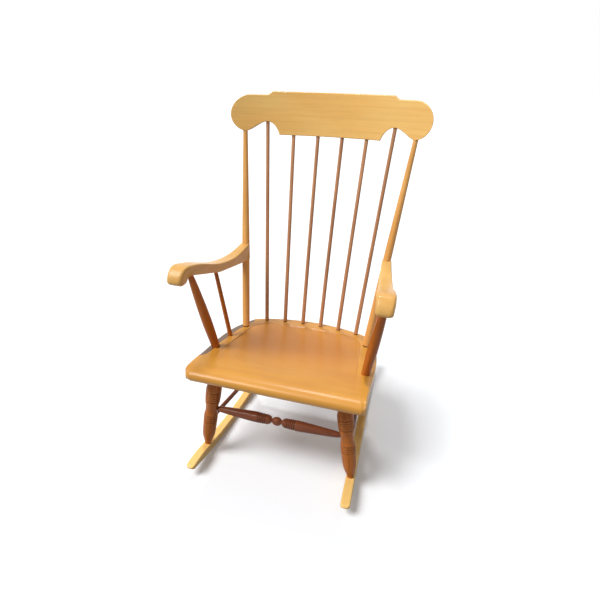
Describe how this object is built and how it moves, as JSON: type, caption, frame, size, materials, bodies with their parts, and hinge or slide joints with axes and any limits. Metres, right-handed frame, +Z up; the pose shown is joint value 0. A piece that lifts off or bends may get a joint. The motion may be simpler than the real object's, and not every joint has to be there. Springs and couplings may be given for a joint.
{
  "type": "rocking chair",
  "caption": "Wooden rocking chair with a fanned spindle back, bent crest rail, rolled arms, dished seat and turned legs on curved rockers.",
  "frame": {"origin": "on the floor, at the middle of the chair's width and of its rockers' length", "axes": "+Z up, +Y towards the back, the sitter faces -Y, +X to the right as seen from the front"},
  "size_m": [0.64, 0.7682, 1.065],
  "materials": {
    "honey_wood": "clear satin lacquer over light wood",
    "amber_wood": "amber-stained wood, satin lacquer",
    "walnut_stain": "walnut-stained wood, satin lacquer"
  },
  "bodies": {
    "root": {"seat": "honey_wood", "crest_rail": "honey_wood", "arm_left": "honey_wood", "arm_right": "honey_wood", "rocker_left": "honey_wood", "rocker_right": "honey_wood", "stile_left": "amber_wood", "stile_right": "amber_wood", "back_spindle_1": "amber_wood", "back_spindle_2": "amber_wood", "back_spindle_3": "amber_wood", "back_spindle_4": "amber_wood", "back_spindle_5": "amber_wood", "back_spindle_6": "amber_wood", "arm_post_left": "walnut_stain", "arm_post_right": "walnut_stain", "arm_spindle_left": "walnut_stain", "arm_spindle_right": "walnut_stain", "leg_front_left": "walnut_stain", "leg_front_right": "walnut_stain", "leg_rear_left": "walnut_stain", "leg_rear_right": "walnut_stain", "stretcher_front": "walnut_stain", "stretcher_rear": "walnut_stain", "stretcher_side_left": "walnut_stain", "stretcher_side_right": "walnut_stain"}
  },
  "joints": []
}
